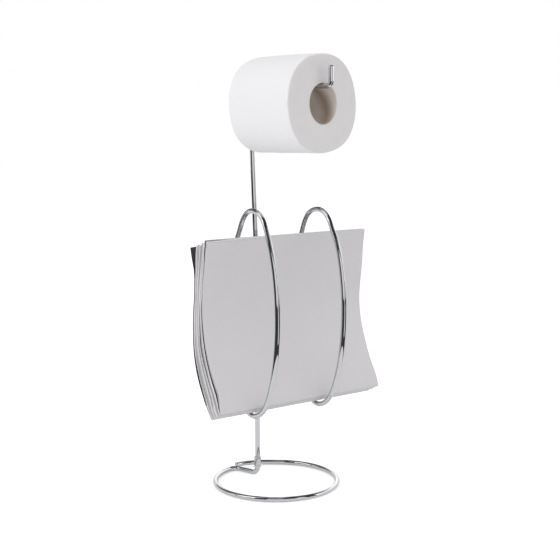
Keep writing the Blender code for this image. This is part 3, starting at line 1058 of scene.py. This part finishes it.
class ROLLHOLDER_OT_rack(bpy.types.Operator):
    """Make the two loops, the two rails and the welds between them"""
    bl_idname = "rollholder.rack"
    bl_label = "Rack"

    def execute(self, context):
        sizes = context.scene.roll_holder_sizes
        radius = sizes.wire / 2
        for node in ("loop_left", "loop_right"):
            wire_piece(f"rack_{node}", node, loop_line(node), radius, closed=True)
        for node in ("rail_lower", "rail_upper"):
            low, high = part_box(node)
            middle = (low + high) / 2
            points = [Vector((across, middle.y, middle.z))
                      for across in evenly(low.x, high.x, RAIL_STEPS)]
            shares = [1.0] * len(points)
            round_end(points, shares, radius, RAIL_END_ROUNDING)
            points.reverse()
            shares.reverse()
            round_end(points, shares, radius, RAIL_END_ROUNDING)
            wire_piece(f"rack_{node}", node, points, radius, shares=shares)
        self.welds(sizes)
        return {"FINISHED"}

    def welds(self, sizes):
        """Small beads where wire crosses wire, plated over with the rest."""
        half = (sizes.wire + SEAT_GAP) / 2
        growth = sizes.weld / WELD_HALF_SIZES[0]
        places = []
        for rail in ("rail_lower", "rail_upper"):
            low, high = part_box(rail)
            middle = (low + high) / 2
            places.append(Vector((0, middle.y + half, middle.z)))
            for loop in ("loop_left", "loop_right"):
                side = sum(corner.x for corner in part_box(loop)) / 2
                places.append(Vector((side, (middle.y + leg_y(loop, middle.z)) / 2, middle.z)))
        bm = bmesh.new()
        for place in places:
            for vert in bmesh.ops.create_icosphere(bm, subdivisions=3, radius=1)["verts"]:
                lumps = noise.noise(vert.co * WELD_LUMPS + place * WELD_SPREAD)
                uneven = 1 + WELD_UNEVENNESS * lumps
                vert.co = place + Vector([size * growth * value * uneven
                                          for size, value in zip(WELD_HALF_SIZES, vert.co)])
        finish_piece("rack_weld_beads", bm, "stand", ["chromed_steel_sleeve"])


class ROLLHOLDER_OT_roll(bpy.types.Operator):
    """Make the cardboard core and the tissue wound on it"""
    bl_idname = "rollholder.roll"
    bl_label = "Roll"

    def execute(self, context):
        sizes = context.scene.roll_holder_sizes
        self.core()
        self.tissue(sizes.rim, sizes.ply_band)
        return {"FINISHED"}

    def core(self):
        """A tube with its edges broken."""
        half = ROLL_WIDTH / 2
        bore, outer = CORE_BORE_RADIUS, CORE_BORE_RADIUS + CORE_WALL
        heights = [half - CORE_EDGE] + evenly(half, -half, CORE_STEPS)[1:-1] + [CORE_EDGE - half]
        profile = [(outer - CORE_EDGE, half)] + [(outer, height) for height in heights]
        profile += [(outer - CORE_EDGE, -half), (bore + CORE_EDGE, -half)]
        profile += [(bore, height) for height in reversed(heights)] + [(bore + CORE_EDGE, half)]
        bm = bmesh.new()
        spin_profile(bm, profile, CORE_SIDES)
        hang_on_arm(bm)
        finish_piece("cardboard_core", bm, "roll", ["spiral_wound_cardboard"],
                     ["roll_core"])

    def tissue(self, rim, band):
        """The sides are soft and a little uneven, and rings stand proud on both ends."""
        half = ROLL_WIDTH / 2
        inner = CORE_BORE_RADIUS + CORE_WALL + PAPER_GAP
        generator = random.Random(ROLL_SEED)
        ends = []
        count = int((ROLL_RADIUS - rim - inner) / band * 2)
        for step, radius in enumerate(evenly(inner, ROLL_RADIUS - rim, count)):
            proud = (RING_PROUD if step % 2 else 0.0) * generator.uniform(*PROUD_SHARES)
            ends.append((radius, half - END_DEPTH + proud))
        ends += [(ROLL_RADIUS - rim + rim * sine, half - rim + rim * cosine)
                 for sine, cosine in quarter_turn(ROLL_RIM_STEPS)[1:-1]]
        side = [(ROLL_RADIUS, height) for height in evenly(half - rim, rim - half, ROLL_SIDE_STEPS)]
        bm = bmesh.new()
        spin_profile(bm, ends + side + [(radius, -height) for radius, height in reversed(ends)],
                     ROLL_SIDES)
        for vert in bm.verts:
            reach = math.hypot(vert.co.x, vert.co.y)
            share = max(0.0, (reach - inner) / (ROLL_RADIUS - inner))
            angle = math.atan2(vert.co.y, vert.co.x)
            push = sum(right * math.cos(turns * angle) + up * math.sin(turns * angle)
                       for turns, right, up in ROLL_FULLNESS)
            push += sum(noise.noise(vert.co * fineness) * size for fineness, size in SIDE_DENTS)
            vert.co.xy *= 1 + push * share / reach
            if abs(vert.co.z) > half - rim:
                fineness, size = END_DENTS
                flat = Vector((vert.co.x, vert.co.y, 0))
                vert.co.z += noise.noise(flat * fineness) * size * share
        hang_on_arm(bm)
        piece = finish_piece("wound_tissue_roll", bm, "roll",
                             ["embossed_tissue", "cut_tissue_end"], ["roll_paper"], sharp=60)
        for face in piece.data.polygons:
            along = (face.center - ROLL_PLACE).dot(ARM_DIRECTION)
            if abs(along) > half - CUT_FACE_SHARE * rim:
                face.material_index = 1


class ROLLHOLDER_OT_magazines(bpy.types.Operator):
    """Make the four magazines, each of folded leaves inside a folded cover"""
    bl_idname = "rollholder.magazines"
    bl_label = "Magazines"

    def execute(self, context):
        sizes = context.scene.roll_holder_sizes
        for number in range(MAGAZINE_COUNT):
            form = MagazineForm(number)
            self.cover(number, form, sizes)
            self.leaves(number, form, sizes)
        return {"FINISHED"}

    def cover(self, number, form, sizes):
        """The last cover's back is dark: a dark cover outside, and painted shade inside where its
        upper left corner springs back. The first one's front hangs a little.
        """
        first, last = number == 0, number == MAGAZINE_COUNT - 1
        sheet = Sheet(
            MAGAZINE_HALF_THICKNESS - sizes.cover / 2, sizes.cover, (form.left, form.right),
            number / (MAGAZINE_COUNT - 1),
            FRONT_COVER if first else LAST_COVER if last else THE_REST,
            COVER_FOLD, COVER_FOLD, COVER_DROP if first else None, last, (0, int(last)),
            SPINE_PART)
        bm = bmesh.new()
        sheet.build(bm, form)
        finish_piece(f"magazine_{number + 1}_folded_cover", bm, f"magazine_{number + 1}",
                     ["pale_cover_stock", "dark_back_and_shade_stock"],
                     [f"magazine_{number + 1}_cover"])

    def leaves(self, number, form, sizes):
        """Leaves of uneven length, one of them dark in each front magazine as painted shade of the
        gap behind its front cover.
        """
        generator = random.Random(LEAF_SEED + number)
        bm = bmesh.new()
        widest = MAGAZINE_HALF_THICKNESS - sizes.cover - LEAF_GAP - LEAF_CORE
        first, last = number == 0, number == MAGAZINE_COUNT - 1
        for leaf in range(LEAF_COUNT):
            half = LEAF_CORE + widest * (LEAF_COUNT - leaf - 0.5) / LEAF_COUNT
            # A dark leaf is painted shade, for the gap behind its magazine's front cover
            dark = (number, leaf) in PAINTED_SHADE_LEAVES
            left = (LEFT_INSETS[0] if dark else generator.uniform(*LEFT_INSETS)) * MM
            out = LAST_LEAVES if last else SECOND_LEAF if dark else THE_REST
            drop = None
            if last:
                left += LAST_LEAVES_INSET
            if first:
                out = FRONT_COVER if leaf == 0 else DARK_LEAF if dark else PALE_LEAVES
                drop = FIRST_LEAF_DROP if leaf == 0 else None if dark else HIDDEN_LEAF_DROP
            ends = (form.left + left, form.right - generator.uniform(*RIGHT_INSETS) * MM)
            front, rear = (
                [(place, width, part * half) for place, width, part in closing]
                for closing in (FIRST_CLOSING if first else FRONT_CLOSING, REAR_CLOSING))
            order = number + LEAF_ORDER + LEAF_ORDER_SPREAD * leaf / LEAF_COUNT
            sheet = Sheet(half, sizes.leaf, ends, order / MAGAZINE_COUNT, out, front, rear, drop,
                          materials=(int(dark), 0))
            sheet.build(bm, form)
        finish_piece(f"magazine_{number + 1}_leaves", bm, f"magazine_{number + 1}",
                     ["coated_leaves", "painted_shade_leaf"], [f"magazine_{number + 1}_pages"])


class ROLLHOLDER_OT_studio(bpy.types.Operator):
    """Make the floor, the lamps, the panels that only the chrome shows, and the camera"""
    bl_idname = "rollholder.studio"
    bl_label = "Studio"

    def execute(self, context):
        scene = context.scene
        scene.view_settings.view_transform = "Standard"
        self.floor(scene.roll_holder_colours.floor)
        self.flags()
        self.lamps(scene)
        self.world(scene)
        self.camera(scene)
        return {"FINISHED"}

    def floor(self, colour):
        """A matt white floor that stays white to the eye and keeps the object's shadow."""
        tree, shader = new_material("matt_white_floor")
        path = add_node(tree, "ShaderNodeLightPath")
        mirrored = add_node(tree, "ShaderNodeMath", {
            0: path.outputs["Is Glossy Ray"], 1: FLOOR_MIRRORED_GLOW}, operation="MULTIPLY")
        glow = add_node(tree, "ShaderNodeMath", {
            0: path.outputs["Is Camera Ray"], 1: FLOOR_GLOW, 2: mirrored},
            operation="MULTIPLY_ADD")
        set_sockets(tree, shader, {
            "Base Color": (*colour, 1), "Roughness": 0.9, "Specular IOR Level": 0.0,
            "Emission Color": WHITE, "Emission Strength": glow})
        bm = bmesh.new()
        bmesh.ops.create_grid(bm, x_segments=1, y_segments=1, size=FLOOR_REACH)
        bmesh.ops.translate(bm, vec=(0, 0, -FLOOR_DEPTH), verts=bm.verts)
        floor = mesh_object("studio_floor", bm, ["matt_white_floor"])

    def flags(self):
        """Dark flags and bright cards beyond the picture, and sectors of the floor.

        Only the chrome sees them, as the dark and the bright lines along its wires.
        """
        for number, (azimuth, elevation, width, height, glow) in enumerate(FLAGS):
            across = math.radians(azimuth)
            out = outward(across, math.radians(elevation))
            side = level_direction(across)
            place = Vector((0, 0, FLAG_CENTRE_HEIGHT)) + out * (FLAG_DISTANCE - FLAG_STEP * number)
            turn = Matrix((side, out.cross(side), out)).transposed().to_4x4()
            bm = bmesh.new()
            bmesh.ops.create_grid(bm, x_segments=1, y_segments=1, size=0.5)
            bmesh.ops.scale(bm, vec=(width, height, 1), verts=bm.verts)
            bmesh.ops.transform(bm, matrix=Matrix.Translation(place) @ turn, verts=bm.verts)
            self.flag(f"air_flag_{number + 1}", bm, glow)
        for number, (azimuth, half_angle, inner, outer, glow) in enumerate(FLOOR_FLAGS):
            start = level_direction(math.radians(azimuth - half_angle - 90))
            start.z = FLOOR_FLAG_STEP * (number + 1)
            bm = bmesh.new()
            verts = [bm.verts.new((start.x * reach, start.y * reach, start.z))
                     for reach in (inner, outer)]
            edge = bm.edges.new(verts)
            bmesh.ops.spin(bm, geom=verts + [edge], cent=(0, 0, 0), axis=(0, 0, 1), dvec=(0, 0, 0),
                           angle=math.radians(2 * half_angle), steps=FLOOR_FLAG_SIDES)
            self.flag(f"floor_flag_{number + 1}", bm, glow)

    def flag(self, name, bm, glow):
        """One panel, seen by mirrored rays alone."""
        tree, shader = new_material(f"{name}_cloth")
        set_sockets(tree, shader, {
            "Base Color": FLAG_BLACK, "Roughness": 1.0, "Specular IOR Level": 0.0,
            "Emission Color": WHITE, "Emission Strength": glow})
        flag = mesh_object(name, bm, [f"{name}_cloth"])
        flag.visible_camera = False
        flag.visible_diffuse = False
        flag.visible_transmission = False
        flag.visible_shadow = False

    def lamps(self, scene):
        """Large soft lamps, aimed at the object."""
        for name, place, target, width, height, power in LAMPS:
            data = bpy.data.lights.new(name, "AREA")
            data.shape = "RECTANGLE"
            data.size = width
            data.size_y = height
            data.energy = power
            lamp = bpy.data.objects.new(name, data)
            scene.collection.objects.link(lamp)
            aim = Vector(target) - Vector(place)
            lamp.location = place
            lamp.rotation_euler = aim.to_track_quat("-Z", "Y").to_euler()

    def world(self, scene):
        """Even light all round, and plain white where the eye or the chrome meets it."""
        world = bpy.data.worlds.new("studio_air")
        scene.world = world
        world.use_nodes = True
        tree = world.node_tree
        path = add_node(tree, "ShaderNodeLightPath")
        seen = add_node(tree, "ShaderNodeMath", {
            0: path.outputs["Is Camera Ray"], 1: path.outputs["Is Glossy Ray"]},
            operation="MAXIMUM")
        seen = add_node(tree, "ShaderNodeMath", {
            0: seen, 1: path.outputs["Is Transmission Ray"]}, operation="MAXIMUM")
        level = add_node(tree, "ShaderNodeMapRange", {
            "Value": seen, "To Min": WORLD_LIGHT, "To Max": 1.0})
        set_sockets(tree, tree.nodes["Background"], {"Color": WHITE, "Strength": level})

    def camera(self, scene):
        """The photograph's own view, worked out from the roll, the ring and the loops."""
        data = bpy.data.cameras.new("view_camera")
        data.sensor_width = CAMERA_SENSOR
        data.lens = CAMERA_FOCAL_SHARE * CAMERA_SENSOR
        camera = bpy.data.objects.new("view_camera", data)
        scene.collection.objects.link(camera)
        azimuth, pitch, roll = (math.radians(value) for value in CAMERA_TURN)
        back = outward(azimuth, pitch)
        right = level_direction(azimuth)
        up = back.cross(right)
        right, up = (right * math.cos(roll) + up * math.sin(roll),
                     up * math.cos(roll) - right * math.sin(roll))
        place = CAMERA_TARGET + back * CAMERA_DISTANCE
        turn = Matrix((right, up, back)).transposed().to_4x4()
        camera.matrix_world = Matrix.Translation(place) @ turn
        scene.camera = camera


class ROLLHOLDER_PT_sidebar(bpy.types.Panel):
    """Lists the sizes, the colours and the steps in the 3D view's sidebar"""
    bl_label = "Roll Holder"
    bl_idname = "ROLLHOLDER_PT_sidebar"
    bl_space_type = "VIEW_3D"
    bl_region_type = "UI"
    bl_category = "Roll Holder"

    def draw(self, context):
        layout = self.layout
        for group in (context.scene.roll_holder_sizes, context.scene.roll_holder_colours):
            box = layout.box()
            for name in type(group).__annotations__:
                box.prop(group, name)
        for step in STEPS:
            layout.operator(step.bl_idname)


STEPS = (
    ROLLHOLDER_OT_finishes,
    ROLLHOLDER_OT_base,
    ROLLHOLDER_OT_rod,
    ROLLHOLDER_OT_rack,
    ROLLHOLDER_OT_roll,
    ROLLHOLDER_OT_magazines,
    ROLLHOLDER_OT_studio,
)
CLASSES = (RollHolderSizes, RollHolderColours, *STEPS, ROLLHOLDER_PT_sidebar)


def register():
    for item in CLASSES:
        bpy.utils.register_class(item)
    bpy.types.Scene.roll_holder_sizes = bpy.props.PointerProperty(type=RollHolderSizes)
    bpy.types.Scene.roll_holder_colours = bpy.props.PointerProperty(type=RollHolderColours)


def unregister():
    del bpy.types.Scene.roll_holder_colours
    del bpy.types.Scene.roll_holder_sizes
    for item in reversed(CLASSES):
        bpy.utils.unregister_class(item)


def main():
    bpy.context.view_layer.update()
    register()
    bpy.ops.rollholder.finishes()
    bpy.ops.rollholder.base()
    bpy.ops.rollholder.rod()
    bpy.ops.rollholder.rack()
    bpy.ops.rollholder.roll()
    bpy.ops.rollholder.magazines()
    bpy.ops.rollholder.studio()


if __name__ == "__main__":
    main()
